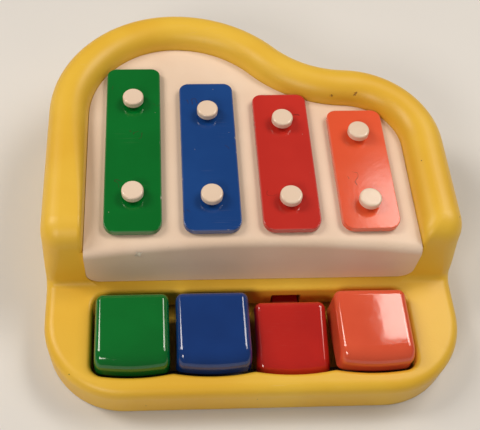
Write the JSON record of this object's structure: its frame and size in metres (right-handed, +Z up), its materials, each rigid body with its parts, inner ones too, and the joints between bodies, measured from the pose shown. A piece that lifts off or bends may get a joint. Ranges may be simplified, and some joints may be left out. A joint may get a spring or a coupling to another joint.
{
  "type": "toy piano",
  "caption": "Toddler's toy piano: a rounded plastic case with a rolled rim, painted tone bars on pegs, and hinged keys whose levers strike the bars from below.",
  "frame": {"origin": "centre of the bounding box in plan, on the surface that the tray stands on", "axes": "+Z up, +X to the player's right, -Y towards the player"},
  "size_m": [0.2272, 0.2356, 0.0655],
  "materials": {
    "housing_yellow": "satin moulded plastic",
    "panel_cream": "satin moulded plastic",
    "steel": "plain drawn steel",
    "felt": "pressed felt",
    "rubber_black": "soft rubber",
    "green_paint": "satin enamel",
    "green_plastic": "high gloss moulded plastic",
    "blue_paint": "satin enamel",
    "blue_plastic": "high gloss moulded plastic",
    "red_paint": "satin enamel",
    "red_plastic": "high gloss moulded plastic",
    "orange_paint": "satin enamel",
    "orange_plastic": "high gloss moulded plastic"
  },
  "bodies": {
    "case": {"upper_housing": "housing_yellow", "lower_base": "housing_yellow", "soundboard_panel": "panel_cream", "green_bar": "green_paint", "green_bar_pegs": "panel_cream", "green_bar_washers": "felt", "green_key_spring": "steel", "blue_bar": "blue_paint", "blue_bar_pegs": "panel_cream", "blue_bar_washers": "felt", "blue_key_spring": "steel", "red_bar": "red_paint", "red_bar_pegs": "panel_cream", "red_bar_washers": "felt", "red_key_spring": "steel", "orange_bar": "orange_paint", "orange_bar_pegs": "panel_cream", "orange_bar_washers": "felt", "orange_key_spring": "steel", "key_pivot_rod": "steel", "rod_retainers": "steel", "key_stop_felt": "felt", "lever_rest_felt": "felt", "base_screws": "steel", "spring_screws": "steel"},
    "green_lever": {"green_key": "green_plastic", "green_hammer_tip": "rubber_black"},
    "blue_lever": {"blue_key": "blue_plastic", "blue_hammer_tip": "rubber_black"},
    "red_lever": {"red_key": "red_plastic", "red_hammer_tip": "rubber_black"},
    "orange_lever": {"orange_key": "orange_plastic", "orange_hammer_tip": "rubber_black"}
  },
  "joints": [
    {"name": "green_key_press", "type": "hinge", "parent": "case", "child": "green_lever", "pos_m": [-0.0654, -0.027, 0.013], "axis": [1, 0, 0], "range_deg": [0, 10.8], "stiffness_Nm_per_rad": 0.15, "springref_deg": -11.46, "deforming": ["green_key_spring"]},
    {"name": "blue_key_press", "type": "hinge", "parent": "case", "child": "blue_lever", "pos_m": [-0.0224, -0.027, 0.013], "axis": [1, 0, 0], "range_deg": [0, 10.8], "stiffness_Nm_per_rad": 0.15, "springref_deg": -11.46, "deforming": ["blue_key_spring"]},
    {"name": "red_key_press", "type": "hinge", "parent": "case", "child": "red_lever", "pos_m": [0.0206, -0.027, 0.013], "axis": [1, 0, 0], "range_deg": [-10.8, 0], "stiffness_Nm_per_rad": 0.15, "springref_deg": -22.26, "deforming": ["red_key_spring"]},
    {"name": "orange_key_press", "type": "hinge", "parent": "case", "child": "orange_lever", "pos_m": [0.0636, -0.027, 0.013], "axis": [1, 0, 0], "range_deg": [0, 10.8], "stiffness_Nm_per_rad": 0.15, "springref_deg": -11.46, "deforming": ["orange_key_spring"]}
  ]
}
